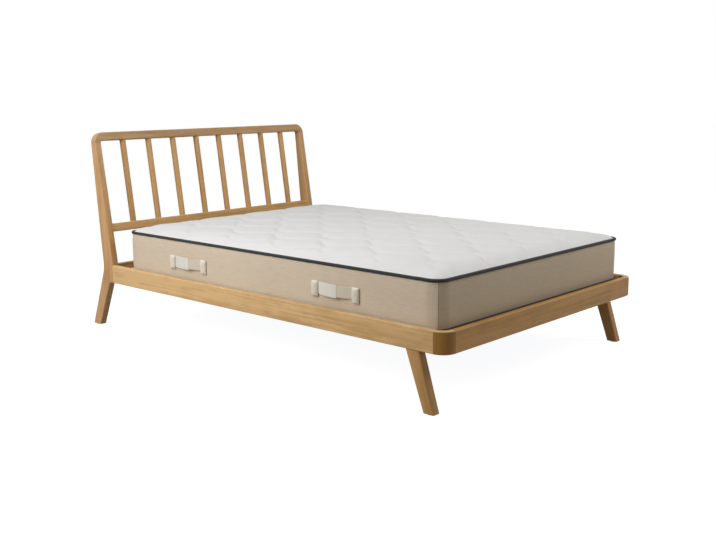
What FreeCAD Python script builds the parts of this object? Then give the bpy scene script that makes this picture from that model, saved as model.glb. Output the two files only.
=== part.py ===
import FreeCAD, Part
import math
import os

V = FreeCAD.Vector
os.makedirs("parts", exist_ok=True)

# Millimetres. X across the bed, Y from foot to head, Z up, floor at zero.

# Fits
joint_gap = 0.2
hole_gap = 0.1
fabric_gap = 0.3

# Mattress
mattress_width = 1350.0
mattress_length = 1900.0
mattress_corner = 57.0
mattress_recess = 22.0
border_height = 172.0
border_thickness = 12.0
border_swell = 3.0
piping_radius = 7.0
piping_overhang = 2.0
bottom_panel_thickness = 12.0
panel_edge_height = 12.0
panel_shoulder_height = 10.0
panel_shoulder_inset = 34.0
panel_crown_height = 16.0
panel_crown_inset = 115.0

# Mattress handles
handle_span = 185.0
handle_end_length = 34.0
handle_height = 46.0
handle_thickness = 3.0
handle_bow = 16.0
handle_level = 95.0
handle_toward_head = 480.0
handle_toward_foot = 439.0
tab_height = 63.0
tab_drop = 6.0
tab_thickness = 2.0

# Rails
rail_underside = 231.0
rail_height = 87.0
rail_thickness = 27.0
rail_edge_round = 5.0
foot_corner_radius = 58.0
mattress_side_gap = 7.0
mattress_foot_gap = 29.0
mattress_head_gap = 88.0
head_rail_set_back = 27.0
head_tenon_height = 58.0
head_tenon_thickness = 13.0
tenon_length = 12.0

# Posts
post_width = 35.0
post_edge_round = 5.0
knee_depth = 75.0
knee_rise = 19.0
knee_back_drop = 21.0
knee_undercut_depth = 31.0
knee_front_round = 6.0
knee_under_round = 22.0
knee_back_round = 125.0
post_top_depth = 37.0
rear_foot_depth = 58.0
rear_foot_reach = 188.0

# Headboard
headboard_height = 963.0
headboard_lean = 8.8
headboard_set_back = 24.0
top_rail_height = 41.0
headboard_inner_round = 10.0
headboard_corner_land = 5.0
lower_rail_height = 41.0
lower_rail_depth = 37.0
lower_rail_level = 160.0
lower_tenon_height = 25.0
lower_tenon_thickness = 13.0
spindle_count = 8
spindle_diameter = 30.0
spindle_tenon_diameter = 14.0
spindle_tenon_length = 18.0

# Front legs
front_leg_width = 38.0
front_leg_set_back = 154.0
front_foot_set_back = 77.0
front_leg_top_depth = 62.0
front_leg_foot_depth = 49.0
leg_tenon_thickness = 13.0
leg_tenon_depth = 42.0
leg_tenon_height = 75.0

# Deck
ledger_height = 33.0
ledger_thickness = 22.0
ledger_end_gap = 1.0
slat_count = 12
slat_width = 95.0
slat_thickness = 18.0
slat_end_gap = 4.0
slat_margin = 43.0
slat_edge_round = 3.0
beam_width = 48.0
beam_height = 40.0
beam_tongue_height = 20.0
center_leg_size = 38.0
center_leg_spacing = 640.0
pad_radius = 14.0
pad_thickness = 3.0

# Fasteners
bolt_radius = 4.0
bolt_reach = 48.0
bolt_seat = 56.0
bolt_head_radius = 6.5
bolt_head_height = 8.0
bolt_edge_distance = 22.0
counterbore_radius = 7.5
counterbore_length = 80.0
barrel_radius = 6.0
barrel_length = 22.0
barrel_set_back = 36.0
leg_bolt_radius = 3.0
leg_bolt_length = 18.0
leg_bolt_head_radius = 7.0
leg_bolt_head_height = 2.0
leg_bolt_drop = 19.0
leg_bolt_spacing = 24.0
dowel_radius = 5.0
dowel_half_length = 20.0
dowel_edge_distance = 20.0
frame_screw_length = 34.0
frame_screw_radius = 2.2
frame_screw_head_radius = 4.4
frame_screw_head_height = 2.5
ledger_screw_drop = 17.0
ledger_screw_margin = 190.0
ledger_screw_count = 7
cross_ledger_screw_count = 4
cross_ledger_screw_margin = 300.0
slat_screw_length = 30.0
slat_screw_radius = 2.0
slat_screw_head_radius = 4.0
slat_screw_head_height = 2.5
bracket_leg = 75.0
bracket_height = 24.0
bracket_thickness = 3.0
bracket_drop = 2.0
bracket_screw_drop = 10.0
bracket_screw_first = 26.0
bracket_screw_second = 58.0
stud_radius = 4.0
stud_half_length = 25.0

# Layout
frame_width = mattress_width + 2 * (mattress_side_gap + rail_thickness)
frame_length = rail_thickness + mattress_foot_gap + mattress_length + mattress_head_gap
left = -frame_width / 2
foot_face = -(frame_length + rear_foot_reach) / 2
post_face = foot_face + frame_length
rail_top = rail_underside + rail_height
slat_top = rail_top - mattress_recess
ledger_top = slat_top - slat_thickness
ledger_bottom = ledger_top - ledger_height
beam_bottom = ledger_top - beam_height
rail_inside = left + rail_thickness
ledger_inside = rail_inside + ledger_thickness
foot_inside = foot_face + rail_thickness
head_inside = post_face + head_rail_set_back
post_inside = left + post_width
frame_middle = (foot_face + post_face) / 2
rail_middle = left + rail_thickness / 2

X_AXIS = V(1, 0, 0)
Y_AXIS = V(0, 1, 0)
Z_AXIS = V(0, 0, 1)

nodes = {}


def block(x0, x1, y0, y1, z0, z1):
    return Part.makeBox(x1 - x0, y1 - y0, z1 - z0, V(x0, y0, z0))


def rod(start, axis, length, radius):
    return Part.makeCylinder(radius, length, start, axis)


def mirrored(shape):
    return shape.mirror(V(0, 0, 0), X_AXIS)


def both_sides(shapes):
    return shapes + [mirrored(shape) for shape in shapes]


def group(shapes):
    return Part.makeCompound(shapes)


def minus(shape, tools):
    return shape.cut(tools) if tools else shape


def long_edges(shape, axis):
    found = []
    for edge in shape.Edges:
        if len(edge.Vertexes) == 2:
            run = edge.Vertexes[1].Point - edge.Vertexes[0].Point
            if abs(run.dot(axis)) > 0.999 * run.Length:
                found.append(edge)
    return found


def board(x0, x1, y0, y1, z0, z1, axis, edge_round):
    plain = block(x0, x1, y0, y1, z0, z1)
    return plain.makeFillet(edge_round, long_edges(plain, axis))


def outline(points, radii):
    """Closed wire through the points, with a tangent arc at each corner that has a radius."""
    entries = []
    exits = []
    middles = []
    count = len(points)
    for index in range(count):
        corner = points[index]
        back = points[index - 1] - corner
        ahead = points[(index + 1) % count] - corner
        back.normalize()
        ahead.normalize()
        half_angle = math.acos(back.dot(ahead)) / 2
        setback = radii[index] / math.tan(half_angle)
        inward = back + ahead
        inward.normalize()
        reach = radii[index] / math.sin(half_angle) - radii[index]
        entries.append(corner + back * setback)
        exits.append(corner + ahead * setback)
        middles.append(corner + inward * reach)
    edges = []
    for index in range(count):
        if radii[index] > 0:
            edges.append(Part.Arc(entries[index], middles[index], exits[index]).toShape())
        start = exits[index]
        end = entries[(index + 1) % count]
        if (end - start).Length > 1e-6:
            edges.append(Part.LineSegment(start, end).toShape())
    return Part.Wire(edges)


def side_shape(profile, radii, x0, width, end_heights, edge_round):
    """Prism across X from a profile in Y and Z, softened on every side edge but the cut ends."""
    points = [V(x0, y, z) for y, z in profile]
    solid = Part.Face(outline(points, radii)).extrude(V(width, 0, 0))
    soft = []
    for edge in solid.Edges:
        box = edge.BoundBox
        flat_ends = [h for h in end_heights if h(box)]
        if box.XLength < 1e-6 and not flat_ends:
            soft.append(edge)
    return solid.makeFillet(edge_round, soft)


def countersunk(start, axis, length, radius, head_radius, head_height, gap):
    head = Part.makeCone(head_radius + gap, radius + gap, head_height, start, axis)
    return head.fuse(rod(start, axis, length + 10 * gap, radius + gap)).removeSplitter()


def frame_screw(start, axis, gap):
    return countersunk(start, axis, frame_screw_length, frame_screw_radius,
                       frame_screw_head_radius, frame_screw_head_height, gap)


def slat_screw(start, gap):
    return countersunk(start, -Z_AXIS, slat_screw_length, slat_screw_radius,
                       slat_screw_head_radius, slat_screw_head_height, gap)


def dowel(center, axis, gap):
    length = dowel_half_length + 5 * gap
    return rod(center - axis * length, axis, 2 * length, dowel_radius + gap)


# The headboard is drawn upright about the origin and then leaned back as one plane
lean_angle = math.radians(headboard_lean)
lean_base = V(0, post_face + headboard_set_back, rail_top)
post_top_half = post_top_depth / 2
rise = headboard_height - rail_top - post_top_half * math.sin(lean_angle)
top_level = rise / math.cos(lean_angle)
headboard_outer_round = top_rail_height + headboard_inner_round
corner_arm = max(headboard_outer_round, post_width + headboard_inner_round + headboard_corner_land)
post_end_level = top_level - headboard_outer_round
top_underside = top_level - top_rail_height
lower_top = lower_rail_level + lower_rail_height


def leaned(shape):
    shape = shape.copy()
    shape.rotate(V(0, 0, 0), X_AXIS, -headboard_lean)
    shape.translate(lean_base)
    return shape


def leaned_point(across, level):
    y = lean_base.y + level * math.sin(lean_angle) + across * math.cos(lean_angle)
    z = lean_base.z + level * math.cos(lean_angle) - across * math.sin(lean_angle)
    return (y, z)


# Bolts and nuts of the joint between post and side rail
bolt_levels = [rail_underside + bolt_edge_distance, rail_top - bolt_edge_distance]


def bed_bolt(level, gap):
    seat = V(rail_middle, post_face + bolt_seat, level)
    return rod(seat, -Y_AXIS, bolt_seat + bolt_reach + 10 * gap, bolt_radius + gap)


def bed_bolt_head(level):
    return rod(V(rail_middle, post_face + bolt_seat, level), Y_AXIS, bolt_head_height, bolt_head_radius)


def counterbore(level):
    return rod(V(rail_middle, post_face + bolt_seat, level), Y_AXIS, counterbore_length, counterbore_radius)


def barrel_nut(level, gap):
    start = V(rail_middle - barrel_length / 2 - gap, post_face - barrel_set_back, level)
    return rod(start, X_AXIS, barrel_length + 2 * gap, barrel_radius + gap)


def barrel_hole(level):
    start = V(rail_middle - barrel_length / 2 - hole_gap, post_face - barrel_set_back, level)
    return rod(start, X_AXIS, rail_thickness, barrel_radius + hole_gap)


bolts = [bed_bolt(z, 0).fuse(bed_bolt_head(z)).removeSplitter() for z in bolt_levels]
nuts = [barrel_nut(z, 0).cut(bed_bolt(z, hole_gap)) for z in bolt_levels]
nodes["bed_bolts"] = group(both_sides(bolts))
nodes["barrel_nuts"] = group(both_sides(nuts))

# Dowels of the headboard corners and of the foot corners
post_dowels = []
for side in (-1, 1):
    across = side * post_top_depth / 4
    post_dowels.append((V(left + post_width / 2, across, post_end_level), Z_AXIS))
    post_dowels.append((V(left + corner_arm, across, top_level - top_rail_height / 2), X_AXIS))
foot_dowels = []
for level in (rail_underside + dowel_edge_distance, rail_top - dowel_edge_distance):
    foot_dowels.append((V(rail_middle, foot_face + foot_corner_radius, level), Y_AXIS))
    foot_dowels.append((V(left + foot_corner_radius, foot_face + rail_thickness / 2, level), X_AXIS))
headboard_holes = [leaned(dowel(c, axis, hole_gap)) for c, axis in post_dowels]
foot_holes = [dowel(c, axis, hole_gap) for c, axis in foot_dowels]
dowels = [leaned(dowel(c, axis, 0)) for c, axis in post_dowels]
dowels += [dowel(c, axis, 0) for c, axis in foot_dowels]
nodes["joint_dowels"] = group(both_sides(dowels))

# Rails of the headboard, with tenons that enter the posts
lower_half = lower_rail_depth / 2
lower_body = board(post_inside, -post_inside, -lower_half, lower_half,
                   lower_rail_level, lower_top, X_AXIS, rail_edge_round)


def lower_tenon(gap):
    half_thickness = lower_tenon_thickness / 2 + gap
    margin = (lower_rail_height - lower_tenon_height) / 2 - gap
    end = post_inside - tenon_length - gap
    return block(end, -end, -half_thickness, half_thickness, lower_rail_level + margin, lower_top - margin)


spindle_pitch = (frame_width - post_width) / (spindle_count + 1)
spindle_x = [left + post_width / 2 + spindle_pitch * (n + 1) for n in range(spindle_count)]


def spindle_tenons(x, gap):
    start = lower_top - spindle_tenon_length - gap
    length = top_underside - lower_top + 2 * (spindle_tenon_length + gap)
    return rod(V(x, 0, start), Z_AXIS, length, spindle_tenon_diameter / 2 + gap)


spindle_bores = [spindle_tenons(x, hole_gap) for x in spindle_x]
lower_upright = lower_body.fuse(lower_tenon(0)).removeSplitter()
nodes["lower_rail"] = leaned(minus(lower_upright, spindle_bores))
top_upright = board(left + corner_arm, -left - corner_arm, -post_top_half, post_top_half,
                    top_underside, top_level, X_AXIS, rail_edge_round)
nodes["top_rail"] = minus(leaned(minus(top_upright, spindle_bores)), both_sides(headboard_holes))
for n, x in enumerate(spindle_x):
    bar = rod(V(x, 0, lower_top), Z_AXIS, top_underside - lower_top, spindle_diameter / 2)
    nodes["spindle_%d" % (n + 1)] = leaned(bar.fuse(spindle_tenons(x, 0)).removeSplitter())

# Rounded blocks between posts and top rail
corner_points = [
    V(left, -post_top_half, post_end_level),
    V(left, -post_top_half, top_level),
    V(left + corner_arm, -post_top_half, top_level),
    V(left + corner_arm, -post_top_half, top_underside),
    V(post_inside, -post_top_half, top_underside),
    V(post_inside, -post_top_half, post_end_level),
]
corner_radii = [0, headboard_outer_round, 0, 0, headboard_inner_round, 0]
corner_solid = Part.Face(outline(corner_points, corner_radii)).extrude(V(0, post_top_depth, 0))
corner_soft = []
for edge in corner_solid.Edges:
    box = edge.BoundBox
    on_post_joint = box.ZLength < 1e-6 and abs(box.ZMin - post_end_level) < 1e-6
    on_rail_joint = box.XLength < 1e-6 and abs(box.XMin - left - corner_arm) < 1e-6
    if box.YLength < 1e-6 and not on_post_joint and not on_rail_joint:
        corner_soft.append(edge)
corner_upright = corner_solid.makeFillet(rail_edge_round, corner_soft)
corner_left = minus(leaned(corner_upright), headboard_holes)
nodes["headboard_corner_left"] = corner_left
nodes["headboard_corner_right"] = mirrored(corner_left)

# Board between the posts at frame height
head_middle = head_inside + rail_thickness / 2
head_board = board(post_inside, -post_inside, head_inside, head_inside + rail_thickness,
                   rail_underside, rail_top, X_AXIS, rail_edge_round)


def head_tenon(gap):
    half_thickness = head_tenon_thickness / 2 + gap
    margin = (rail_height - head_tenon_height) / 2 - gap
    end = post_inside - tenon_length - gap
    return block(end, -end, head_middle - half_thickness, head_middle + half_thickness,
                 rail_underside + margin, rail_top - margin)


# Bent posts
knee_front = post_face
knee_back = post_face + knee_depth
profile = [
    leaned_point(-post_top_half, post_end_level),
    (knee_front, rail_top + knee_rise),
    (knee_front, rail_underside),
    (knee_front + knee_undercut_depth, rail_underside),
    (post_face + rear_foot_reach - rear_foot_depth, pad_thickness),
    (post_face + rear_foot_reach, pad_thickness),
    (knee_back, rail_top - knee_back_drop),
    leaned_point(post_top_half, post_end_level),
]
profile_radii = [0, knee_back_round, knee_front_round, knee_under_round, 0, 0, knee_back_round, 0]
end_tests = [
    lambda box: box.ZMax < pad_thickness + 1e-6,
    lambda box: box.ZMin > leaned_point(post_top_half, post_end_level)[1] - 1e-6,
]
post = side_shape(profile, profile_radii, left, post_width, end_tests, post_edge_round)
post_cuts = headboard_holes + [leaned(lower_tenon(joint_gap)), head_tenon(joint_gap)]
for level in bolt_levels:
    post_cuts.append(bed_bolt(level, hole_gap))
    post_cuts.append(counterbore(level))
post_left = minus(post, post_cuts)
nodes["post_left"] = post_left
nodes["post_right"] = mirrored(post_left)

# Front legs, tenoned up into the side rails and bolted from inside
leg_top_middle = foot_face + front_leg_set_back
leg_foot_middle = foot_face + front_foot_set_back
leg_profile = [
    (leg_top_middle - front_leg_top_depth / 2, rail_underside),
    (leg_foot_middle - front_leg_foot_depth / 2, pad_thickness),
    (leg_foot_middle + front_leg_foot_depth / 2, pad_thickness),
    (leg_top_middle + front_leg_top_depth / 2, rail_underside),
]
leg_end_tests = [
    lambda box: box.ZMax < pad_thickness + 1e-6,
    lambda box: box.ZMin > rail_underside - 1e-6,
]
leg_body = side_shape(leg_profile, [0, 0, 0, 0], left, front_leg_width, leg_end_tests, post_edge_round)


def leg_tenon(gap):
    half_thickness = leg_tenon_thickness / 2 + gap
    half_depth = leg_tenon_depth / 2 + gap
    return block(rail_middle - half_thickness, rail_middle + half_thickness,
                 leg_top_middle - half_depth, leg_top_middle + half_depth,
                 rail_underside, rail_underside + leg_tenon_height + gap)


def leg_bolt(y, gap):
    start = V(rail_inside, y, rail_top - leg_bolt_drop)
    return rod(start, -X_AXIS, leg_bolt_length + 10 * gap, leg_bolt_radius + gap)


def leg_bolt_head(y):
    return rod(V(rail_inside, y, rail_top - leg_bolt_drop), X_AXIS, leg_bolt_head_height, leg_bolt_head_radius)


leg_bolt_rows = [leg_top_middle - leg_bolt_spacing / 2, leg_top_middle + leg_bolt_spacing / 2]
leg_bolt_holes = [leg_bolt(y, hole_gap) for y in leg_bolt_rows]
leg_bolts = [leg_bolt(y, 0).fuse(leg_bolt_head(y)).removeSplitter() for y in leg_bolt_rows]
nodes["leg_bolts"] = group(both_sides(leg_bolts))
leg_left = minus(leg_body.fuse(leg_tenon(0)).removeSplitter(), leg_bolt_holes)
nodes["front_leg_left"] = leg_left
nodes["front_leg_right"] = mirrored(leg_left)

# Steel angles that tie the ledgers at the foot corners
bracket_x = ledger_inside
bracket_y = foot_inside + ledger_thickness
bracket_top = ledger_top - bracket_drop
bracket_bottom = bracket_top - bracket_height
bracket_plan = block(bracket_x, bracket_x + bracket_leg, bracket_y, bracket_y + bracket_leg,
                     bracket_bottom, bracket_top)
bracket_cut = block(bracket_x + bracket_thickness, bracket_x + bracket_leg,
                    bracket_y + bracket_thickness, bracket_y + bracket_leg,
                    bracket_bottom, bracket_top)
bracket_screw_level = ledger_top - bracket_screw_drop
screw_places = []
for step in (bracket_screw_first, bracket_screw_second):
    screw_places.append((V(bracket_x + bracket_thickness, bracket_y + step, bracket_screw_level), -X_AXIS))
    screw_places.append((V(bracket_x + step, bracket_y + bracket_thickness, bracket_screw_level), -Y_AXIS))
ledger_start = foot_face + foot_corner_radius
ledger_end = post_face - ledger_end_gap
first_screw = ledger_start + ledger_screw_margin
screw_step = (ledger_end - ledger_screw_margin - first_screw) / (ledger_screw_count - 1)
screw_level = ledger_top - ledger_screw_drop
for n in range(ledger_screw_count):
    screw_places.append((V(ledger_inside, first_screw + screw_step * n, screw_level), -X_AXIS))
cross_first = ledger_inside + cross_ledger_screw_margin
cross_step = 2 * (-cross_first) / (cross_ledger_screw_count - 1)
cross_places = []
for n in range(cross_ledger_screw_count):
    x = cross_first + cross_step * n
    cross_places.append((V(x, foot_inside + ledger_thickness, screw_level), -Y_AXIS))
    cross_places.append((V(x, head_inside - ledger_thickness, screw_level), Y_AXIS))
side_screws = both_sides([frame_screw(at, axis, 0) for at, axis in screw_places])
side_screw_holes = both_sides([frame_screw(at, axis, hole_gap) for at, axis in screw_places])
cross_screws = [frame_screw(at, axis, 0) for at, axis in cross_places]
cross_screw_holes = [frame_screw(at, axis, hole_gap) for at, axis in cross_places]
nodes["frame_screws"] = group(side_screws + cross_screws)
bracket_left = minus(bracket_plan.cut(bracket_cut), side_screw_holes)
nodes["corner_brackets"] = group(both_sides([bracket_left]))

# Side rails, foot rail and its rounded corner blocks
side_board = board(left, rail_inside, ledger_start, post_face, rail_underside, rail_top, Y_AXIS, rail_edge_round)
side_cuts = foot_holes + side_screw_holes + leg_bolt_holes + [leg_tenon(joint_gap)]
for level in bolt_levels:
    side_cuts.append(bed_bolt(level, hole_gap))
    side_cuts.append(barrel_hole(level))
side_left = minus(side_board, side_cuts)
nodes["side_rail_left"] = side_left
nodes["side_rail_right"] = mirrored(side_left)

foot_board = board(left + foot_corner_radius, -left - foot_corner_radius, foot_face, foot_inside,
                   rail_underside, rail_top, X_AXIS, rail_edge_round)
nodes["foot_rail"] = minus(foot_board, both_sides(foot_holes) + side_screw_holes + cross_screw_holes)

turn_center = V(left + foot_corner_radius, foot_face + foot_corner_radius, rail_underside)
turn_radii = (foot_corner_radius, foot_corner_radius - rail_thickness)
turn_outer = Part.makeCylinder(turn_radii[0], rail_height, turn_center, Z_AXIS, 90)
turn_inner = Part.makeCylinder(turn_radii[1], rail_height, turn_center, Z_AXIS, 90)
turn = turn_outer.cut(turn_inner)
turn.rotate(turn_center, Z_AXIS, 180)
turn_soft = [edge for edge in turn.Edges if isinstance(edge.Curve, Part.Circle)]
foot_corner = minus(turn.makeFillet(rail_edge_round, turn_soft), foot_holes)
nodes["foot_corner_left"] = foot_corner
nodes["foot_corner_right"] = mirrored(foot_corner)

# Slats on ledgers and a middle beam
slat_half = -rail_inside - slat_end_gap
slat_first = foot_inside + slat_margin
slat_last = head_inside - slat_margin - slat_width
slat_step = (slat_last - slat_first) / (slat_count - 1)
slat_screw_x = [rail_inside + ledger_thickness / 2, 0.0, -rail_inside - ledger_thickness / 2]
slat_rows = [slat_first + slat_step * n for n in range(slat_count)]
slat_screws = []
slat_screw_holes = []
for n, row in enumerate(slat_rows):
    tops = [V(x, row + slat_width / 2, slat_top) for x in slat_screw_x]
    holes = [slat_screw(top, hole_gap) for top in tops]
    slat_screws += [slat_screw(top, 0) for top in tops]
    slat_screw_holes += holes
    slat = board(-slat_half, slat_half, row, row + slat_width, ledger_top, slat_top, X_AXIS, slat_edge_round)
    nodes["slat_%d" % (n + 1)] = minus(slat, holes)
nodes["slat_screws"] = group(slat_screws)

ledger_cuts = side_screw_holes + slat_screw_holes
ledger_side = block(rail_inside, ledger_inside, ledger_start, ledger_end, ledger_bottom, ledger_top)
ledger_left = minus(ledger_side, ledger_cuts)
nodes["ledger_left"] = ledger_left
nodes["ledger_right"] = mirrored(ledger_left)

beam_half = beam_width / 2
tongue_bottom = ledger_top - beam_tongue_height
foot_notch_end = foot_inside + ledger_thickness
head_notch_end = head_inside - ledger_thickness


def beam_notch(y0, y1):
    return block(-beam_half - joint_gap, beam_half + joint_gap, y0, y1, tongue_bottom - joint_gap, ledger_top)


foot_batten = block(left + foot_corner_radius, -left - foot_corner_radius, foot_inside, foot_notch_end,
                    ledger_bottom, ledger_top)
foot_batten_cuts = side_screw_holes + cross_screw_holes + [beam_notch(foot_inside, foot_notch_end)]
nodes["ledger_foot"] = minus(foot_batten, foot_batten_cuts)
head_batten = block(ledger_inside + ledger_end_gap, -ledger_inside - ledger_end_gap, head_notch_end, head_inside,
                    ledger_bottom, ledger_top)
head_batten_cuts = cross_screw_holes + [beam_notch(head_notch_end, head_inside)]
nodes["ledger_head"] = minus(head_batten, head_batten_cuts)
nodes["head_rail"] = minus(head_board.fuse(head_tenon(0)).removeSplitter(), cross_screw_holes)

beam_body = block(-beam_half, beam_half, foot_notch_end + joint_gap, head_notch_end - joint_gap,
                  beam_bottom, ledger_top)
beam_tongue = block(-beam_half, beam_half, foot_inside + joint_gap, head_inside - joint_gap,
                    tongue_bottom, ledger_top)
center_leg_y = {
    "center_leg_foot": frame_middle - center_leg_spacing / 2,
    "center_leg_head": frame_middle + center_leg_spacing / 2,
}


def stud(y, gap):
    length = stud_half_length + 5 * gap
    return rod(V(0, y, beam_bottom - length), Z_AXIS, 2 * length, stud_radius + gap)


stud_holes = [stud(y, hole_gap) for y in center_leg_y.values()]
beam = beam_body.fuse(beam_tongue).removeSplitter()
nodes["center_beam"] = minus(beam, slat_screw_holes + stud_holes)
nodes["center_leg_studs"] = group([stud(y, 0) for y in center_leg_y.values()])
leg_half = center_leg_size / 2
for name, y in center_leg_y.items():
    stick = board(-leg_half, leg_half, y - leg_half, y + leg_half, pad_thickness, beam_bottom,
                  Z_AXIS, post_edge_round)
    nodes[name] = minus(stick, stud_holes)

# Glides under the six feet
rear_pad = V(left + post_width / 2, post_face + rear_foot_reach - rear_foot_depth / 2, 0)
front_pad = V(left + front_leg_width / 2, leg_foot_middle, 0)
pads = both_sides([rod(at, Z_AXIS, pad_thickness, pad_radius) for at in (rear_pad, front_pad)])
pads += [rod(V(0, y, 0), Z_AXIS, pad_thickness, pad_radius) for y in center_leg_y.values()]
nodes["felt_pads"] = group(pads)

# Mattress: core in a sewn cover with piping on both seams
half_mattress = mattress_width / 2
mattress_foot = foot_inside + mattress_foot_gap
mattress_head = mattress_foot + mattress_length
mattress_middle = (mattress_foot + mattress_head) / 2
mattress_bottom = slat_top + fabric_gap
border_bottom = mattress_bottom + 2 * piping_radius
border_top = border_bottom + border_height
panel_inset = 2 * piping_radius - piping_overhang + fabric_gap
core_inset = border_thickness + fabric_gap


def plan_wire(inset, z):
    x = half_mattress - inset
    corners = [V(-x, mattress_foot + inset, z), V(x, mattress_foot + inset, z),
               V(x, mattress_head - inset, z), V(-x, mattress_head - inset, z)]
    return outline(corners, [max(mattress_corner - inset, mattress_corner / 4)] * 4)


def plan_slab(inset, z0, z1):
    return Part.Face(plan_wire(inset, z0)).extrude(V(0, 0, z1 - z0))


def piping(level):
    inset = piping_radius - piping_overhang
    path = plan_wire(inset, level)
    start = path.OrderedEdges[0]
    at = start.valueAt(start.FirstParameter)
    ring = Part.Circle(at, start.tangentAt(start.FirstParameter), piping_radius)
    return path.makePipeShell([Part.Wire(ring.toShape())], True, True)


core_bottom = mattress_bottom + bottom_panel_thickness
shoulder_level = border_top + panel_edge_height
crown_start = shoulder_level + panel_shoulder_height
nodes["mattress_core"] = plan_slab(core_inset, core_bottom, border_top)
border_outside = Part.makeLoft([
    plan_wire(border_swell, border_bottom),
    plan_wire(0, (border_bottom + border_top) / 2),
    plan_wire(border_swell, border_top),
], True, False)
nodes["mattress_border"] = border_outside.cut(plan_slab(border_thickness, border_bottom, border_top))
nodes["mattress_bottom_panel"] = plan_slab(panel_inset, mattress_bottom, core_bottom)
nodes["mattress_piping_bottom"] = piping(mattress_bottom + piping_radius)
nodes["mattress_piping_top"] = piping(border_top + piping_radius)
panel_crown = Part.makeLoft([
    plan_wire(panel_inset, shoulder_level),
    plan_wire(panel_inset + panel_shoulder_inset, crown_start),
    plan_wire(panel_inset + panel_crown_inset, crown_start + panel_crown_height),
], True, True)
nodes["mattress_top_panel"] = plan_slab(panel_inset, border_top, shoulder_level).fuse(panel_crown)

# Webbing handles, bowed out between two sewn end patches
handle_middle = mattress_bottom + handle_level
handle_bottom = handle_middle - handle_height / 2
tab_middle = handle_middle - tab_drop
strap_x = -half_mattress - fabric_gap
bow_half = handle_span / 2
handle_half = bow_half + handle_end_length
handle_rows = [mattress_middle + handle_toward_head, mattress_middle - handle_toward_foot]


def strap(y):
    z = handle_bottom
    outer = strap_x - handle_thickness
    inner_arc = Part.Arc(V(strap_x, y - bow_half, z), V(strap_x - handle_bow, y, z), V(strap_x, y + bow_half, z))
    outer_arc = Part.Arc(V(outer, y + bow_half, z), V(outer - handle_bow, y, z), V(outer, y - bow_half, z))
    runs = [
        (V(strap_x, y + bow_half, z), V(strap_x, y + handle_half, z)),
        (V(strap_x, y + handle_half, z), V(outer, y + handle_half, z)),
        (V(outer, y + handle_half, z), V(outer, y + bow_half, z)),
        (V(outer, y - bow_half, z), V(outer, y - handle_half, z)),
        (V(outer, y - handle_half, z), V(strap_x, y - handle_half, z)),
        (V(strap_x, y - handle_half, z), V(strap_x, y - bow_half, z)),
    ]
    lines = [Part.LineSegment(start, end).toShape() for start, end in runs]
    edges = [inner_arc.toShape()] + lines[:3] + [outer_arc.toShape()] + lines[3:]
    return Part.Face(Part.Wire(edges)).extrude(V(0, 0, handle_height))


def tab(y0, y1):
    outer = strap_x - handle_thickness
    return block(outer - tab_thickness, outer, y0, y1,
                 tab_middle - tab_height / 2, tab_middle + tab_height / 2)


straps = [strap(y) for y in handle_rows]
tabs = []
for y in handle_rows:
    tabs.append(tab(y - handle_half, y - bow_half))
    tabs.append(tab(y + bow_half, y + handle_half))
nodes["mattress_handles_left"] = group(straps)
nodes["mattress_handles_right"] = group([mirrored(s) for s in straps])
nodes["handle_tabs"] = group(both_sides(tabs))

for name, shape in nodes.items():
    shape.exportStep("parts/" + name + ".step")
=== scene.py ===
import math
from contextlib import contextmanager

import bpy
import numpy as np
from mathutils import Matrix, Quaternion, Vector


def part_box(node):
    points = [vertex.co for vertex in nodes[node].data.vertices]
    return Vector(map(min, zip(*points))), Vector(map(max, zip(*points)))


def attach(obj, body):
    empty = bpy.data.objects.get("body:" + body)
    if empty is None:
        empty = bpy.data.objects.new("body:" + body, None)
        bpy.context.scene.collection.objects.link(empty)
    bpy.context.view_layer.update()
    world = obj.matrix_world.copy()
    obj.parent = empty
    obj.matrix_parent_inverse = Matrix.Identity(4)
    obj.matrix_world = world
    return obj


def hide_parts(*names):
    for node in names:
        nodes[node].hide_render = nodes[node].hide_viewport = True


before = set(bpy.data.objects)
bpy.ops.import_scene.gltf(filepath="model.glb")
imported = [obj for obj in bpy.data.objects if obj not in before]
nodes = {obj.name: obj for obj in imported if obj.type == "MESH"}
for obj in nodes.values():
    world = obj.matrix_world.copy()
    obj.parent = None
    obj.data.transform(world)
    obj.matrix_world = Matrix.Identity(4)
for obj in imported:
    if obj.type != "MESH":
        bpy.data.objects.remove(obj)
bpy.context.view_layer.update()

# Metres. X across the bed, Y from foot to head, Z up, floor at zero.

# Places read from the frame
quilt_low, quilt_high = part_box("mattress_top_panel")
border_low, border_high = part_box("mattress_border")
base_low, base_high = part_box("mattress_bottom_panel")
top_seam_low, top_seam_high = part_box("mattress_piping_top")
low_seam_low, low_seam_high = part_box("mattress_piping_bottom")
handles_low, handles_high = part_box("mattress_handles_left")
tabs_low, tabs_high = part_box("handle_tabs")
rail_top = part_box("foot_rail")[1].z
mattress_middle = (border_low.y + border_high.y) / 2
half_width = border_high.x
half_length = (border_high.y - border_low.y) / 2

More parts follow.
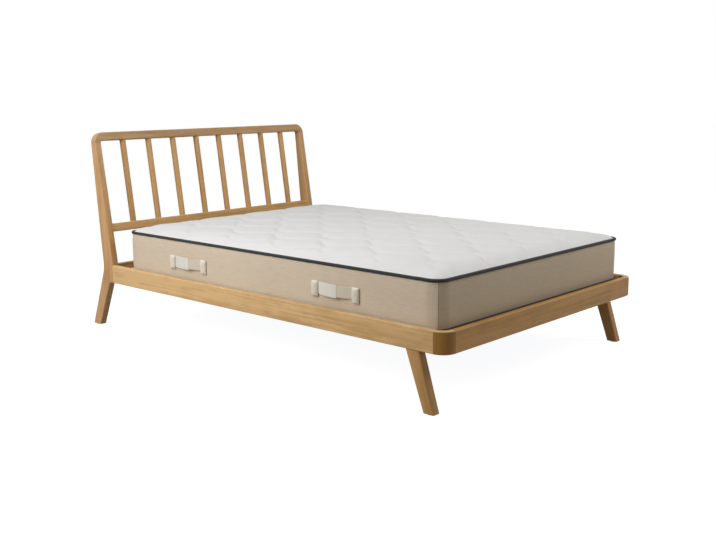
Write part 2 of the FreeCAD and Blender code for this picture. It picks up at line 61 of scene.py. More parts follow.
# Mattress cover
mattress_corner = 0.057
quilt_inset = half_width - quilt_high.x
quilt_corner = mattress_corner - quilt_inset
quilt_edge_height = 0.012
quilt_crown = 0.0245
quilt_roll = 0.045
cells_each_side = 4.5
columns_per_cell = 12
stitch_pitch = quilt_high.x / cells_each_side
sewn_share = 0.01
quilt_half_length = (quilt_high.y - quilt_low.y) / 2
quilt_row_spacing = 0.0125
quilt_wave_share = 0.24
quilt_wave_length = 0.29
puff_height = 0.0062
puff_sink = 0.001
puff_frames = 20
border_swell = 0.003
swell_power = 4
seam_power = 6
border_rows = 20
border_step = 0.0144
pucker_depth = 0.0012
gather_pitch = 0.031
gather_drift = 2.1
drift_rate = 9.0
fade_rate = 5.3
fade_start = 1.0
piping_radius = (top_seam_high.z - top_seam_low.z) / 2
piping_inset = 0.005
piping_roundness = 4
corner_segments = 24
corner_crease = 0.65
base_edge_round = 0.003
merge_distance = 1e-5

# Webbing handles
strap_height = handles_high.z - handles_low.z
strap_thickness = 0.003
strap_bow = 0.016
bow_power = 1.25
strap_span = 0.185
strap_end = 0.034
strap_level = (handles_low.z + handles_high.z) / 2
strap_half = strap_span / 2 + strap_end
strap_rows = (handles_high.y - strap_half, handles_low.y + strap_half)
strap_face = -handles_high.x
tab_height = tabs_high.z - tabs_low.z
tab_level = (tabs_low.z + tabs_high.z) / 2
tab_thickness = 0.002
tab_swell = 0.0095
label_length = 0.106
label_gap = 0.008
label_height = 0.053
label_thickness = 0.0012
strip_step = 0.005
strip_least_columns = 12
strip_rows = 10
stitch_length = 0.0042
stitch_gap = 0.0018
stitch_radius = 0.0006
stitch_sides = 6
stitch_margin = 0.005


def only(piece):
    """Makes one object the selected and active one."""
    bpy.ops.object.select_all(action="DESELECT")
    piece.select_set(True)
    bpy.context.view_layer.objects.active = piece


@contextmanager
def editing(piece, pick="SELECT"):
    """Edit mode on one object, with all of it picked or nothing."""
    only(piece)
    bpy.ops.object.mode_set(mode="EDIT")
    bpy.ops.mesh.select_all(action=pick)
    yield
    bpy.ops.object.mode_set(mode="OBJECT")


def named(name):
    """Names the object that an operator has just added, and its mesh."""
    piece = bpy.context.active_object
    piece.name = name
    piece.data.name = name
    return piece


def settle(piece):
    """Puts the object's place, turn and scale into its mesh."""
    only(piece)
    bpy.ops.object.transform_apply(location=True, rotation=True, scale=True)


def modify(piece, kind, **settings):
    """Adds a modifier with these settings and applies it."""
    only(piece)
    modifier = piece.modifiers.new(kind.lower(), kind)
    for key, value in settings.items():
        setattr(modifier, key, value)
    bpy.ops.object.modifier_apply(modifier=modifier.name)


def soften(piece, degrees=40):
    """Shades a piece smooth, apart from edges sharper than this angle."""
    only(piece)
    bpy.ops.object.shade_smooth_by_angle(angle=math.radians(degrees))


def points_of(piece):
    flat = np.empty(len(piece.data.vertices) * 3)
    piece.data.vertices.foreach_get("co", flat)
    return flat.reshape(-1, 3)


def move_points(piece, points):
    piece.data.vertices.foreach_set("co", points.ravel())
    piece.data.update()


def belongs(piece, body, slot, *replaced):
    """Ties a piece to its body and hides the solids that it stands for."""
    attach(piece, body)
    if replaced:
        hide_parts(*replaced)
    return piece


def finished(piece, finish):
    """Gives a piece its one finish."""
    piece.data.materials.clear()
    piece.data.materials.append(finish)
    return piece


class Value:
    """A number that varies over a surface. Arithmetic on it adds Math nodes."""

    def __init__(self, finish, socket):
        self.finish = finish
        self.socket = socket

    def maths(self, operation, *values):
        inputs = dict(enumerate(values))
        return self.finish.node("ShaderNodeMath", {"operation": operation}, inputs)

    def __add__(self, other):
        return self.maths("ADD", self, other)

    def __radd__(self, other):
        return self.maths("ADD", other, self)

    def __sub__(self, other):
        return self.maths("SUBTRACT", self, other)

    def __rsub__(self, other):
        return self.maths("SUBTRACT", other, self)

    def __mul__(self, other):
        return self.maths("MULTIPLY", self, other)

    def __rmul__(self, other):
        return self.maths("MULTIPLY", other, self)

    def __pow__(self, other):
        return self.maths("POWER", self, other)

    def sine(self):
        return self.maths("SINE", self)

    def size(self):
        return self.maths("ABSOLUTE", self)

    def ripple(self, period):
        """A wave from 0 to 1 with this period."""
        return (self * (2 * math.pi / period)).sine() * 0.5 + 0.5

    def to_nearest(self, pitch):
        """Distance to the nearest multiple of the pitch."""
        return self.maths("PINGPONG", self, pitch / 2)

    def ramp(self, low, high):
        """0 at low, 1 at high and smooth between them."""
        sockets = {"Value": self, "From Min": low, "From Max": high}
        return self.finish.node("ShaderNodeMapRange", {"interpolation_type": "SMOOTHSTEP"}, sockets)


class Finish:
    """A material while it is made. Its node method adds each node."""

    def __init__(self, name, constants=None):
        self.material = bpy.data.materials.new(name)
        self.material.use_nodes = True
        self.tree = self.material.node_tree
        self.shader = self.tree.nodes["Principled BSDF"]
        for key, value in (constants or {}).items():
            self.shader.inputs[key].default_value = value

    def feed(self, socket, value):
        if isinstance(value, Value):
            self.tree.links.new(value.socket, socket)
        else:
            socket.default_value = value

    def node(self, kind, settings=None, sockets=None, output=0):
        made = self.tree.nodes.new(kind)
        for key, value in (settings or {}).items():
            setattr(made, key, value)
        for key, value in (sockets or {}).items():
            self.feed(made.inputs[key], value)
        return Value(self, made.outputs[output])

    def place(self):
        return self.node("ShaderNodeTexCoord", output="Object")

    def turned(self, turn):
        return self.node("ShaderNodeMapping", {}, {"Vector": self.place(), "Rotation": turn})

    def scaled(self, vector, scale):
        return self.node("ShaderNodeVectorMath", {"operation": "MULTIPLY"}, {0: vector, 1: scale})

    def parts(self, vector):
        split = self.node("ShaderNodeSeparateXYZ", {}, {"Vector": vector})
        return [Value(self, socket) for socket in split.socket.node.outputs]

    def noise(self, vector, scale, detail=2.0, roughness=0.5):
        sockets = {"Vector": vector, "Scale": scale, "Detail": detail, "Roughness": roughness}
        return self.node("ShaderNodeTexNoise", {}, sockets)

    def mixed(self, amount, first, second):
        sockets = {"Factor": amount, 6: first, 7: second}
        return self.node("ShaderNodeMix", {"data_type": "RGBA"}, sockets, output=2)

    def tinted(self, colour, amount):
        """A colour made darker or lighter by a number."""
        sockets = {0: colour, "Scale": amount}
        return self.node("ShaderNodeVectorMath", {"operation": "SCALE"}, sockets)

    def done(self, colour, roughness, height, depth, strength):
        """Feeds the shader, with the height as bumps of this depth, and gives the material."""
        self.feed(self.shader.inputs["Base Color"], colour)
        self.feed(self.shader.inputs["Roughness"], roughness)
        sockets = {"Height": height, "Distance": depth, "Strength": strength}
        self.feed(self.shader.inputs["Normal"], self.node("ShaderNodeBump", {}, sockets))
        return self.material


def rgb(red, green, blue):
    return (red, green, blue, 1.0)


# Wood

lean = math.radians(8.8)
rake = math.radians(18.7)
along_x = (0, -math.pi / 2, 0)
along_y = (math.pi / 2, 0, 0)
upright = (0, 0, 0)
leaning = (lean, 0, 0)
raked = (rake, 0, 0)
oak_pale = rgb(0.690, 0.440, 0.205)
oak_dark = rgb(0.470, 0.272, 0.104)
oak_pore = rgb(0.280, 0.155, 0.055)
pine_pale = rgb(0.760, 0.590, 0.360)
pine_dark = rgb(0.590, 0.400, 0.200)
pine_pore = rgb(0.500, 0.320, 0.150)
# Painted highlight on a piece's top: how deep a band under the top it covers, and how far it goes
# towards pale oak
painted_highlight_band = 0.005
painted_highlight_share = 0.8
wave_period = 2 * math.pi / 20  # of the ring texture at scale 1
streak_depth = 0.46
board_depth = 0.45
fibre_depth = 0.35
mottle_depth = 1.05


def wood(name, turn, pale, dark, pore_colour, ring_pitch, ring_depth, pore_share, painted_highlight_level=None):
    """Timber with its grain along the turned Z axis: rings, streaks, soft mottling and open pores."""
    made = Finish(name, {"Specular IOR Level": 0.35})
    grain = made.turned(turn)

    def drawn_out(share):
        """A place for a pattern whose length along the grain is its width over this share."""
        return made.scaled(grain, (1, 1, share))

    def figure(share, scale, detail=2.0, roughness=0.5):
        return made.noise(drawn_out(share), scale, detail, roughness)

    ring_settings = {"wave_type": "RINGS", "rings_direction": "Z", "wave_profile": "SIN"}
    ring_sockets = {"Vector": drawn_out(0.07), "Scale": wave_period / ring_pitch, "Distortion": 20.0,
                    "Detail": 3.0, "Detail Scale": 0.22, "Detail Roughness": 0.6}
    rings = made.node("ShaderNodeTexWave", ring_settings, ring_sockets)
    growth = figure(0.10, scale=11.0).ramp(0.36, 0.66)
    late_wood = rings ** 2.2 * (growth * 0.8 + 0.2)
    streaks = figure(0.035, scale=70.0, detail=4.0, roughness=0.55).ramp(0.32, 0.70)
    boards = figure(0.25, scale=5.0).ramp(0.30, 0.72)
    fibres = figure(0.02, scale=520.0, roughness=0.6) - 0.5
    pores = figure(0.035, scale=1500.0, detail=1.0).ramp(0.60, 0.70) * (late_wood * 0.7 + 0.3)
    mottle = figure(0.45, scale=26.0, detail=3.0)
    shade = late_wood * ring_depth + streaks * streak_depth + (boards - 0.5) * board_depth
    shade = shade + fibres * fibre_depth + (mottle - 0.5) * mottle_depth
    colour = made.mixed(shade.ramp(-0.05, 1.05), pale, dark)
    colour = made.mixed(pores * pore_share, colour, pore_colour)
    # Painted highlight: the band just under the given top is lightened towards pale oak, standing in for
    # light from above
    if painted_highlight_level is not None:
        level = made.parts(made.place())[2]
        painted_top_highlight = level.ramp(painted_highlight_level - painted_highlight_band, painted_highlight_level)
        colour = made.mixed(painted_top_highlight * painted_highlight_share, colour, oak_pale)
    roughness = 0.40 + streaks * 0.10 + pores * 0.20
    height = 1.0 - pores * 0.8 - late_wood * 0.15 + fibres * 0.3
    return made.done(colour, roughness, height, depth=0.00025, strength=0.45)


def oak(name, turn, tone, painted_highlight_level=None):
    """Oak with its colours multiplied by a tone. A piece with a painted highlight on its top gives the
    level of that top.
    """
    colours = (oak_pale, oak_dark, oak_pore)
    pale, dark, pore = [rgb(*np.multiply(colour[:3], tone)) for colour in colours]
    return wood(name, turn, pale, dark, pore, ring_pitch=0.0062, ring_depth=0.34, pore_share=0.55,
                painted_highlight_level=painted_highlight_level)


def pine(name, turn):
    return wood(name, turn, pine_pale, pine_dark, pine_pore, ring_pitch=0.0075, ring_depth=0.60,
                pore_share=0.20)


oak_side_rails = oak("oak_side_rails", along_y, (1.0, 1.04, 1.07))
oak_cross_rails = oak("oak_cross_rails", along_x, (0.92, 0.86, 0.73))
# The foot rail's tone is darker and warmer than the side rails': painted shade for its face towards the
# foot, away from the key light
oak_foot_rail_painted_shade = oak("oak_foot_rail_painted_shade", along_x, (0.70, 0.58, 0.295))
oak_top_rail = oak("oak_top_rail", along_x, (0.74, 0.72, 0.73))
oak_posts = oak("oak_posts", upright, (0.85, 0.79, 0.76))
oak_spindles = oak("oak_spindles", leaning, (0.84, 0.77, 0.68))
oak_left_leg = oak("oak_left_leg", raked, (0.745, 0.67, 0.53))
# The right leg's tone is darker than the left leg's: painted shade for its faces turned away from the
# key light
oak_right_leg_painted_shade = oak("oak_right_leg_painted_shade", raked, (0.67, 0.55, 0.38))
# The corner blocks get a painted highlight along their tops, up to the rails' top
oak_corner_blocks = oak("oak_corner_blocks", upright, (0.42, 0.32, 0.11), painted_highlight_level=rail_top)
pine_slats = pine("pine_slats", along_x)
pine_battens = pine("pine_battens", along_y)
pine_legs = pine("pine_legs", upright)


def zinc_plate():
    made = Finish("zinc_plate", {"Metallic": 1.0})
    place = made.place()
    cloud = made.noise(place, 60.0, 4.0, 0.6)
    spangle = made.noise(place, 900.0, 2.0)
    colour = made.mixed(cloud.ramp(0.3, 0.7), rgb(0.58, 0.58, 0.57), rgb(0.70, 0.70, 0.71))
    roughness = 0.28 + cloud * 0.18 + spangle * 0.06
    return made.done(colour, roughness, spangle, depth=0.00005, strength=0.3)


def pressed_felt():
    made = Finish("pressed_felt")
    place = made.place()
    fibres = made.noise(place, 900.0, 5.0, 0.7)
    lumps = made.noise(place, 150.0, 2.0)
    colour = made.mixed(fibres.ramp(0.3, 0.7), rgb(0.055, 0.045, 0.038), rgb(0.110, 0.095, 0.080))
    height = fibres * 0.7 + lumps * 0.5
    return made.done(colour, 0.95, height, depth=0.0006, strength=0.7)


steel_finish = zinc_plate()
felt_finish = pressed_felt()

# Cloth

cloth_gloss = {"Sheen Weight": 0.12, "Sheen Roughness": 0.5, "Specular IOR Level": 0.2}
knit_column = 0.0021
knit_course = 0.0017
quilt_thread_pitch = 0.0058
weft_pitch = 0.0022
warp_pitch = 0.0026
tape_rib_pitch = 0.0030
tape_cross_pitch = 0.0024
twill_pitch = 0.0028
pick_pitch = 0.0019


def quilted_knit():
    """White knit with thread along the quilting lines, laid on the panel's own map."""
    made = Finish("quilted_knit", cloth_gloss)
    across, along, _ = made.parts(made.node("ShaderNodeUVMap", {"uv_map": "quilting"}))
    loops = (across.ripple(knit_column) * along.ripple(knit_course)) ** 0.6
    ribs = across.ripple(2 * knit_column)
    pile = made.noise(made.place(), 700.0, 3.0)
    from_line = across.to_nearest(stitch_pitch)
    line = 1.0 - from_line.ramp(0.0006, 0.0013)
    dash = along.to_nearest(quilt_thread_pitch).ramp(0.0004, 0.0009)
    thread = line * dash
    # Painted shade: the knit darkens towards each quilting line, for the shade in its groove
    painted_groove_shade = 1.0 - from_line.ramp(0.001, 0.009)
    clouds = made.noise(made.place(), 3.2, 2.0)
    shade = painted_groove_shade * 0.22 + (1.0 - loops) * 0.06
    colour = made.mixed(shade, rgb(0.718, 0.722, 0.735), rgb(0.588, 0.589, 0.595))
    colour = made.mixed(thread * 0.55, colour, rgb(0.80, 0.80, 0.79))
    colour = made.tinted(colour, 0.985 + (clouds - 0.5) * 0.05)
    height = loops * 0.35 + ribs * 0.15 + pile * 0.25 + thread * 0.9 - line * 0.6
    return made.done(colour, 0.88, height, depth=0.0006, strength=0.5)


def border_cloth(name, pale, deep, seam_depth):
    """Woven cover with fine ribs level with the floor, and a seam up each corner, darkened along it as
    painted shade in its crease.
    """
    made = Finish(name, cloth_gloss)
    place = made.place()
    x, y, z = made.parts(place)
    weave = z.ripple(weft_pitch) * 0.6 + (x + y).ripple(warp_pitch) * 0.4
    slubs = made.noise(made.scaled(place, (1, 1, 12)), 26.0, 4.0, 0.6)
    patches = made.noise(place, 2.4, 2.0)
    shade = (1.0 - weave) * 0.45 + slubs.ramp(0.35, 0.7) * 0.35 + (patches - 0.5) * 0.5
    past_mitre = x.size() - (y - mattress_middle).size() - (half_width - half_length)
    seam = (1.0 - past_mitre.size().ramp(0.0008, 0.0026)) * seam_depth
    colour = made.mixed(shade.ramp(0.0, 1.0), pale, deep)
    # The seam's dark line is partly the seam itself and partly painted shade in its crease
    colour = made.tinted(colour, 1.0 - seam * 0.5)
    height = weave * 0.7 + slubs * 0.5 - seam * 2.0
    return made.done(colour, 0.86, height, depth=0.0005, strength=0.5)


def binding_tape():
    """Dark woven binding with slanted ribs."""
    made = Finish("binding_tape", cloth_gloss)
    x, y, z = made.parts(made.place())
    ribs = (x + y + z * 0.8).ripple(tape_rib_pitch)
    cross = (x - y + z * 2.0).ripple(tape_cross_pitch)
    dust = made.noise(made.place(), 90.0, 3.0)
    colour = made.mixed(ribs * 0.6 + dust * 0.3, rgb(0.012, 0.012, 0.014), rgb(0.040, 0.040, 0.044))
    height = ribs * 0.8 + cross * 0.3
    return made.done(colour, 0.72, height, depth=0.0006, strength=0.7)


def flat_webbing(name, pale, deep, height_share=1.0):
    """Flat cloth with a twill of fine slanted ribs."""
    made = Finish(name, cloth_gloss)
    _, y, z = made.parts(made.place())
    twill = (y + z).ripple(twill_pitch)
    picks = (y - z).ripple(pick_pitch)
    fuzz = made.noise(made.place(), 420.0, 3.0)
    colour = made.mixed((1.0 - twill) * 0.6 + fuzz * 0.3, pale, deep)
    height = (twill * 0.8 + picks * 0.3 + fuzz * 0.3) * height_share
    return made.done(colour, 0.80, height, depth=0.0005, strength=0.6)


quilt_finish = quilted_knit()
border_finish = border_cloth("border_cloth", rgb(0.680, 0.580, 0.465), rgb(0.570, 0.470, 0.360),
                             seam_depth=1.0)
base_finish = border_cloth("base_cloth", rgb(0.52, 0.47, 0.41), rgb(0.43, 0.38, 0.32), seam_depth=0.0)
piping_finish = binding_tape()
webbing_finish = flat_webbing("flat_webbing", rgb(0.740, 0.665, 0.560), rgb(0.590, 0.515, 0.420))
tab_finish = flat_webbing("tab_cloth", rgb(0.850, 0.790, 0.700), rgb(0.700, 0.640, 0.555))
label_finish = flat_webbing("label_satin", rgb(0.780, 0.770, 0.735), rgb(0.680, 0.668, 0.632),
                            height_share=0.5)
thread_finish = flat_webbing("thread", rgb(0.800, 0.760, 0.690), rgb(0.620, 0.570, 0.500),
                             height_share=0.3)


# Mattress shapes

def edge_distance(x, y, half_x, half_y, corner):
    """How far points lie inside a rounded rectangle about the middle."""
    out_x = np.abs(x) - (half_x - corner)
    out_y = np.abs(y) - (half_y - corner)
    outside = np.hypot(np.maximum(out_x, 0), np.maximum(out_y, 0))
    return corner - outside - np.minimum(np.maximum(out_x, out_y), 0)


def round_corners(x, y, half_x, half_y, corner):
    """Draws the square corners of a grid in to quarter discs."""
    a = np.clip((np.abs(x) - (half_x - corner)) / corner, 0, 1)
    b = np.clip((np.abs(y) - (half_y - corner)) / corner, 0, 1)
    pull_x = corner * a * (1 - np.sqrt(1 - b * b / 2))
    pull_y = corner * b * (1 - np.sqrt(1 - a * a / 2))
    return x - np.sign(x) * pull_x, y - np.sign(y) * pull_y


def quilt_panel():
    """The top panel: a crowned sheet sewn along waving lines and blown up between them."""
    half_x, half_y = quilt_high.x, quilt_half_length
    columns = round(2 * cells_each_side * columns_per_cell)
    rows = round(2 * half_y / quilt_row_spacing)
    bpy.ops.mesh.primitive_grid_add(x_subdivisions=columns, y_subdivisions=rows, size=2)
    panel = named("quilted_top")
    points = points_of(panel)
    across = points[:, 0] * half_x
    along = points[:, 1] * half_y
    panel.data.uv_layers[0].name = "quilting"
    corners = np.empty(len(panel.data.loops), dtype=np.int32)
    panel.data.loops.foreach_get("vertex_index", corners)
    flat_map = np.stack([across[corners], along[corners]], axis=1)
    panel.data.uv_layers["quilting"].data.foreach_set("uv", flat_map.ravel())
    sway = quilt_wave_share * stitch_pitch * np.cos(math.pi * across / stitch_pitch)
    x, y = across + sway * np.sin(2 * math.pi * along / quilt_wave_length), along
    x, y = round_corners(x, y, half_x, half_y, quilt_corner)
    inside = edge_distance(x, y, half_x, half_y, quilt_corner)
    rim = quilt_low.z + quilt_edge_height
    level = rim + quilt_crown * (1 - np.exp(-inside / quilt_roll))
    sewn_flat = np.stack([x, y + mattress_middle, level], axis=1)
    move_points(panel, sewn_flat)
    cells = across / stitch_pitch
    on_line = np.abs(cells - np.round(cells)) < sewn_share
    on_edge = inside < merge_distance
    held = np.flatnonzero(on_line | on_edge)
    blow_up(panel, held)
    grown = points_of(panel)
    grown[:, 2] = np.clip(grown[:, 2], level - puff_sink, level + puff_height)
    grown[held] = sewn_flat[held]
    move_points(panel, grown)
    modify(panel, "SUBSURF", levels=1, render_levels=1)
    with editing(panel, "DESELECT"):
        bpy.ops.mesh.select_mode(type="EDGE")
        bpy.ops.mesh.select_non_manifold(extend=False)
        drop = (0, 0, quilt_low.z - rim)
        bpy.ops.mesh.extrude_edges_move(TRANSFORM_OT_translate={"value": drop})
        bpy.ops.mesh.edge_face_add()
    soften(panel)
    return panel


def blow_up(panel, held):
    """Cloth with its sewn points held, a little larger than cut, pushed up from inside."""
    group = panel.vertex_groups.new(name="sewn")
    group.add(held.tolist(), 1.0, "REPLACE")
    only(panel)
    cloth = panel.modifiers.new("puff", "CLOTH")
    settings = cloth.settings
    settings.quality = 6
    settings.mass = 0.25
    settings.tension_stiffness = 25
    settings.compression_stiffness = 25
    settings.shear_stiffness = 10
    settings.bending_stiffness = 0.4
    settings.vertex_group_mass = "sewn"
    settings.shrink_min = -0.010
    settings.use_pressure = True
    settings.uniform_pressure_force = 3.0
    settings.effector_weights.gravity = 0
    for number in range(1, puff_frames + 1):
        bpy.context.scene.frame_set(number)
    bpy.ops.object.modifier_apply(modifier="puff")
    bpy.context.scene.frame_set(1)
    panel.vertex_groups.clear()


def rounded_plan(name, inset, level):
    """The mattress outline as a flat face, drawn in by the inset."""
    bpy.ops.mesh.primitive_plane_add(size=2, location=(0, mattress_middle, level))
    plan = named(name)
    plan.scale = (half_width - inset, half_length - inset, 1)
    settle(plan)
    corner = mattress_corner - inset
    with editing(plan):
        bpy.ops.mesh.bevel(offset=corner, segments=corner_segments, profile=0.5, affect="VERTICES")
    return plan


def outline_only(plan):
    """Leaves the edges of a flat face and takes the face away."""
    with editing(plan):
        bpy.ops.mesh.delete(type="ONLY_FACE")
    return plan


def border_band():
    """The side of the cover, swelling between its seams, with faint puckers along them."""
    band = outline_only(rounded_plan("border", 0, border_low.z))
    with editing(band, "DESELECT"):
        bpy.ops.mesh.select_mode(type="EDGE")
    for edge in band.data.edges:
        ends = [band.data.vertices[n].co for n in edge.vertices]
        edge.select = (ends[1] - ends[0]).length > mattress_corner
    only(band)
    bpy.ops.object.mode_set(mode="EDIT")
    bpy.ops.mesh.subdivide(number_cuts=round(2 * half_length / border_step))
    bpy.ops.mesh.select_all(action="SELECT")
    rise = (border_high.z - border_low.z) / border_rows
    for _ in range(border_rows):
        bpy.ops.mesh.extrude_edges_move(TRANSFORM_OT_translate={"value": (0, 0, rise)})
    bpy.ops.object.mode_set(mode="OBJECT")
    points = points_of(band)
    x, y, z = points[:, 0], points[:, 1] - mattress_middle, points[:, 2]
    core_x = np.clip(x, -half_width + mattress_corner, half_width - mattress_corner)
    core_y = np.clip(y, -half_length + mattress_corner, half_length - mattress_corner)
    out_x, out_y = x - core_x, y - core_y
    reach = np.hypot(out_x, out_y)
    height = (z - border_low.z) / (border_high.z - border_low.z) * 2 - 1
    girth = x + y
    drift = gather_drift * np.sin(girth * drift_rate)
    fade = np.sin(girth * fade_rate + fade_start)
    gathers = np.sin(girth * 2 * math.pi / gather_pitch + drift) * fade
    from_crease = math.pi / 4 - np.abs(np.arctan2(np.abs(out_y), np.abs(out_x)) - math.pi / 4)
    chord = mattress_corner * math.cos(math.pi / 8) / np.cos(from_crease - math.pi / 8)
    near_seam = height ** seam_power
    crease = corner_crease * (reach - chord) * (1 - near_seam)
    inward = border_swell * height ** swell_power + pucker_depth * (1 + gathers) * near_seam + crease
    points[:, 0] -= out_x / reach * inward
    points[:, 1] -= out_y / reach * inward
    move_points(band, points)
    with editing(band, "DESELECT"):
        bpy.ops.mesh.select_non_manifold(extend=False)
        bpy.ops.mesh.edge_face_add()
        bpy.ops.mesh.select_all(action="SELECT")
        bpy.ops.mesh.normals_make_consistent(inside=False)
    soften(band)
    return band


def piping_cord(name, level):
    """A round cord of binding along a seam."""
    cord = outline_only(rounded_plan(name, piping_inset, level))
    only(cord)
    bpy.ops.object.convert(target="CURVE")
    cord = bpy.context.active_object
    cord.data.bevel_depth = piping_radius
    cord.data.bevel_resolution = piping_roundness
    bpy.ops.object.convert(target="MESH")
    cord = named(name)
    with editing(cord):
        bpy.ops.mesh.remove_doubles(threshold=merge_distance)
        bpy.ops.mesh.normals_make_consistent(inside=False)
    soften(cord, 60)
    return cord


def base_panel():
    """The flat panel that lies on the slats."""
    panel = rounded_plan("base_panel", quilt_inset, base_low.z)
    with editing(panel):
        lift = (0, 0, base_high.z - base_low.z)
        bpy.ops.mesh.extrude_region_move(TRANSFORM_OT_translate={"value": lift})
        bpy.ops.mesh.select_all(action="SELECT")
        bpy.ops.mesh.normals_make_consistent(inside=False)
    modify(panel, "BEVEL", width=base_edge_round, segments=3, limit_method="ANGLE")
    soften(panel)
    return panel


def bow_of(along):
    """How far a strap stands off the border at a place along it."""
    share = np.clip(np.abs(along) / (strap_span / 2), 0, 1)
    return strap_bow * (1 - share ** 2) ** bow_power


def swell_of(u, v):
    """How far an end patch swells at a place on it, from -1 to 1 both ways."""
    return tab_swell * (np.clip(1 - u ** 2, 0, 1) * np.clip(1 - v ** 6, 0, 1)) ** 0.6


def strip(name, row, side, start, end, middle, height, stand_off, thickness, swelled=False):
    """A band of webbing along a handle, bowed out with it."""
    columns = max(strip_least_columns, round((end - start) / strip_step))
    bpy.ops.mesh.primitive_grid_add(x_subdivisions=columns, y_subdivisions=strip_rows, size=2)
    band = named(name)
    points = points_of(band)
    along = start + (points[:, 0] + 1) / 2 * (end - start)
    level = middle + points[:, 1] * height / 2
    out = strap_face + stand_off + bow_of(along)
    if swelled:
        out += swell_of(points[:, 0], points[:, 1])
    move_points(band, np.stack([side * out, row + along, level], axis=1))
    with editing(band):
        bpy.ops.mesh.normals_make_consistent(inside=False)
    outward = 1 if band.data.polygons[0].normal.x * side > 0 else -1
    modify(band, "SOLIDIFY", thickness=thickness, offset=outward, use_even_offset=True)
    with editing(band):
        bpy.ops.mesh.normals_make_consistent(inside=False)
    modify(band, "BEVEL", width=thickness * 0.3, segments=2, limit_method="ANGLE")
    soften(band)
    return band


def stitched_box(name, row, side, start, end, height, stand_off):
    """Rows of thread round an end patch and across it corner to corner."""
    low, high = start + stitch_margin, end - stitch_margin
    rise = height / 2 - stitch_margin
    corners = [(low, -rise), (high, -rise), (high, rise), (low, rise)]
    runs = [(corners[n], corners[(n + 1) % 4]) for n in range(4)]
    runs += [(corners[0], corners[2]), (corners[1], corners[3])]
    stitches = []
    for first, last in runs:
        run = Vector(last) - Vector(first)
        count = int(run.length / (stitch_length + stitch_gap))
        for n in range(count):
            middle = Vector(first) + run * (n + 0.5) / count
            stitches.append((middle, math.atan2(run.y, run.x)))
    bpy.ops.mesh.primitive_cylinder_add(vertices=stitch_sides, radius=stitch_radius, depth=stitch_length)
    pattern = named(name)
    with editing(pattern):
        bpy.ops.mesh.bevel(offset=stitch_radius * 0.5, segments=1, affect="EDGES")
    one = points_of(pattern)
    faces = [list(face.vertices) for face in pattern.data.polygons]
    points, polygons = [], []
    for middle, angle in stitches:
        shift = len(points) * len(one)
        along = middle.x + one[:, 2] * math.cos(angle) - one[:, 1] * math.sin(angle)
        level = middle.y + one[:, 2] * math.sin(angle) + one[:, 1] * math.cos(angle)
        swell = swell_of((2 * along - start - end) / (end - start), 2 * level / height)
        out = strap_face + stand_off + swell + one[:, 0]
        points.append(np.stack([side * out, row + along, tab_level + level], axis=1))
        polygons += [[shift + n for n in face] for face in faces]
    mesh = bpy.data.meshes.new(name)
    mesh.from_pydata(np.concatenate(points).tolist(), [], polygons)
    pattern.data = mesh
    with editing(pattern):
        bpy.ops.mesh.normals_make_consistent(inside=False)
    soften(pattern)
    return pattern


quilt = finished(quilt_panel(), quilt_finish)
belongs(quilt, "mattress", "quilt", "mattress_top_panel")

border = finished(border_band(), border_finish)
belongs(border, "mattress", "cover", "mattress_border", "mattress_core")

base = finished(base_panel(), base_finish)
belongs(base, "mattress", "cover", "mattress_bottom_panel")

top_piping = finished(piping_cord("top_piping", (top_seam_low.z + top_seam_high.z) / 2), piping_finish)
belongs(top_piping, "mattress", "piping", "mattress_piping_top")
low_piping = finished(piping_cord("low_piping", (low_seam_low.z + low_seam_high.z) / 2), piping_finish)
belongs(low_piping, "mattress", "piping", "mattress_piping_bottom")

half_span = strap_span / 2
for side, side_name in ((-1, "left"), (1, "right")):
    for row, row_name in zip(strap_rows, ("head", "foot")):
        spot = side_name + "_" + row_name
        strap = strip("strap_" + spot, row, side, -strap_half, strap_half, strap_level, strap_height,
                      stand_off=0, thickness=strap_thickness)
        belongs(finished(strap, webbing_finish), "mattress", "webbing", "mattress_handles_" + side_name)
        for start, end, end_name in ((-strap_half, -half_span, "low"), (half_span, strap_half, "high")):
            tab_name = spot + "_" + end_name
            tab = strip("tab_" + tab_name, row, side, start, end, tab_level, tab_height,
                        stand_off=strap_thickness, thickness=tab_thickness, swelled=True)
            belongs(finished(tab, tab_finish), "mattress", "patch", "handle_tabs")
            thread = stitched_box("thread_" + tab_name, row, side, start, end, tab_height,
                                  stand_off=strap_thickness + tab_thickness)
            belongs(finished(thread, thread_finish), "mattress", "patch")
        label_end = half_span - label_gap
        label = strip("label_" + spot, row, side, label_end - label_length, label_end, strap_level,
                      label_height, stand_off=strap_thickness, thickness=label_thickness)
        belongs(finished(label, label_finish), "mattress", "patch")

# Finishes of the frame's own solids

frame_finishes = {
    "side_rail": oak_side_rails, "foot_rail": oak_foot_rail_painted_shade, "head_rail": oak_cross_rails,
    "lower_rail": oak_cross_rails, "top_rail": oak_top_rail, "headboard_corner": oak_top_rail,
    "post": oak_posts, "spindle": oak_spindles, "foot_corner": oak_corner_blocks,
    "front_leg_left": oak_left_leg, "front_leg_right": oak_right_leg_painted_shade,
    "slat_screws": steel_finish, "slat": pine_slats,
    "ledger_left": pine_battens, "ledger_right": pine_battens, "center_beam": pine_battens,
    "ledger_foot": pine_slats, "ledger_head": pine_slats,
    "center_leg_studs": steel_finish, "center_leg": pine_legs, "joint_dowels": pine_legs,
    "bed_bolts": steel_finish, "barrel_nuts": steel_finish, "leg_bolts": steel_finish,
    "frame_screws": steel_finish, "corner_brackets": steel_finish, "felt_pads": felt_finish,
}
for name, node in nodes.items():
    if not node.hide_render:
        fitting = [finish for start, finish in frame_finishes.items() if name.startswith(start)]
        finished(node, fitting[0])

# Stage

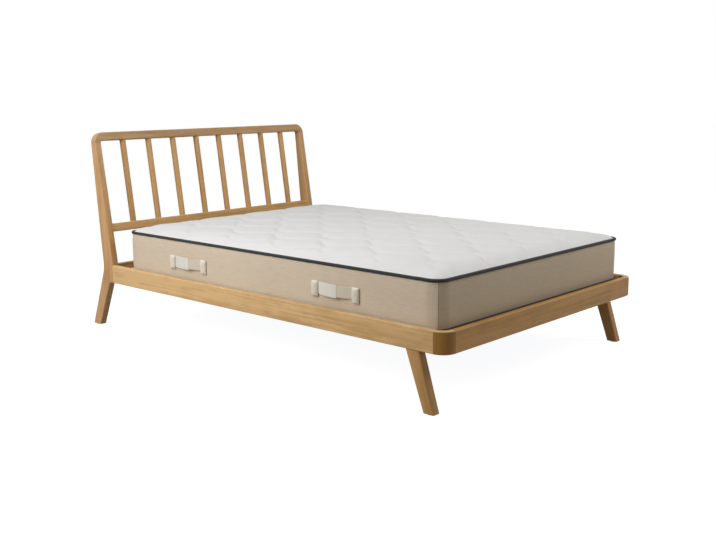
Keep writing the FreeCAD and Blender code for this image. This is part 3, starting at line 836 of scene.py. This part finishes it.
view_target = Vector((0, -0.0925, 0.3842))
view_distance = 4.6082
view_azimuth = math.radians(-48.05)
view_elevation = math.radians(9.825)
view_roll = math.radians(-0.238)
picture_width = 716
focal_pixels = 974.07
picture_middle = (358.0, 270.0)
optical_middle = (363.95, 256.70)
sensor_width = 36.0
key_place = Vector((-3.0, 0.60, 1.75))
key_target = Vector((-0.7, 0.25, 0.4))
key_size = 1.7
key_power = 31.0
key_spread = 130
overhead_place = Vector((-0.4, -0.6, 3.4))
overhead_target = Vector((0.0, -0.2, 0.4))
overhead_size = 3.4
overhead_power = 54.5
foot_fill_place = Vector((1.9, -2.5, 2.0))
foot_fill_target = Vector((0.5, -1.1, 0.4))
foot_fill_size = 0.9
foot_fill_power = 20.0
fill_strength = 0.25
fill_colour = rgb(1.0, 0.95, 0.82)
floor_colour = rgb(0.32, 0.28, 0.22)
floor_size = 60.0


def camera():
    """The camera, placed and shifted to frame the bed as in the photograph."""
    back = Vector((math.sin(view_azimuth) * math.cos(view_elevation),
                   -math.cos(view_azimuth) * math.cos(view_elevation),
                   math.sin(view_elevation)))
    bpy.ops.object.camera_add(location=view_target + back * view_distance)
    eye = bpy.context.active_object
    level_turn = back.to_track_quat("Z", "Y")
    eye.rotation_euler = (level_turn @ Quaternion((0, 0, 1), view_roll)).to_euler()
    eye.data.sensor_width = sensor_width
    eye.data.lens = focal_pixels / picture_width * sensor_width
    eye.data.shift_x = (picture_middle[0] - optical_middle[0]) / picture_width
    eye.data.shift_y = (optical_middle[1] - picture_middle[1]) / picture_width
    bpy.context.scene.camera = eye


def softbox(name, place, target, size, power, spread=180):
    """A square lamp of this size that faces a target."""
    bpy.ops.object.light_add(type="AREA", location=place)
    lamp = bpy.context.active_object
    lamp.name = name
    lamp.rotation_euler = (place - target).to_track_quat("Z", "Y").to_euler()
    lamp.data.shape = "SQUARE"
    lamp.data.size = size
    lamp.data.energy = power
    lamp.data.spread = math.radians(spread)


def seen_directly(tree):
    """A socket that is 1 for rays that show the background itself."""
    path = tree.nodes.new("ShaderNodeLightPath")
    seen = path.outputs["Is Camera Ray"]
    for kind in ("Is Glossy Ray", "Is Transmission Ray"):
        larger = tree.nodes.new("ShaderNodeMath")
        larger.operation = "MAXIMUM"
        tree.links.new(seen, larger.inputs[0])
        tree.links.new(path.outputs[kind], larger.inputs[1])
        seen = larger.outputs[0]
    return seen


def surroundings():
    """White where it is seen, and a weaker warm fill as light."""
    world = bpy.data.worlds.new("studio")
    world.use_nodes = True
    bpy.context.scene.world = world
    tree = world.node_tree
    strength = tree.nodes.new("ShaderNodeMapRange")
    tree.links.new(seen_directly(tree), strength.inputs["Value"])
    strength.inputs["To Min"].default_value = fill_strength
    strength.inputs["To Max"].default_value = 1.0
    background = tree.nodes["Background"]
    tint = tree.nodes.new("ShaderNodeMix")
    tint.data_type = "RGBA"
    tree.links.new(seen_directly(tree), tint.inputs["Factor"])
    tint.inputs[6].default_value = fill_colour
    tint.inputs[7].default_value = rgb(1, 1, 1)
    tree.links.new(tint.outputs[2], background.inputs["Color"])
    tree.links.new(strength.outputs["Result"], background.inputs["Strength"])


def floor():
    """A floor that looks white where the fill or a lamp reaches it, and keeps the bed's shadow."""
    bpy.ops.mesh.primitive_plane_add(size=floor_size)
    plane = named("floor")
    lit_by_fill = np.multiply(floor_colour[:3], fill_colour[:3]) * fill_strength
    made = Finish("floor_white", {"Base Color": floor_colour, "Roughness": 0.9,
                                  "Specular IOR Level": 0.0, "Emission Color": rgb(*(1 - lit_by_fill))})
    made.tree.links.new(seen_directly(made.tree), made.shader.inputs["Emission Strength"])
    finished(plane, made.material)


camera()
softbox("key_light", key_place, key_target, key_size, key_power, key_spread)
softbox("overhead_light", overhead_place, overhead_target, overhead_size, overhead_power)
softbox("foot_fill", foot_fill_place, foot_fill_target, foot_fill_size, foot_fill_power)
surroundings()
floor()
bpy.context.scene.view_settings.view_transform = "Standard"
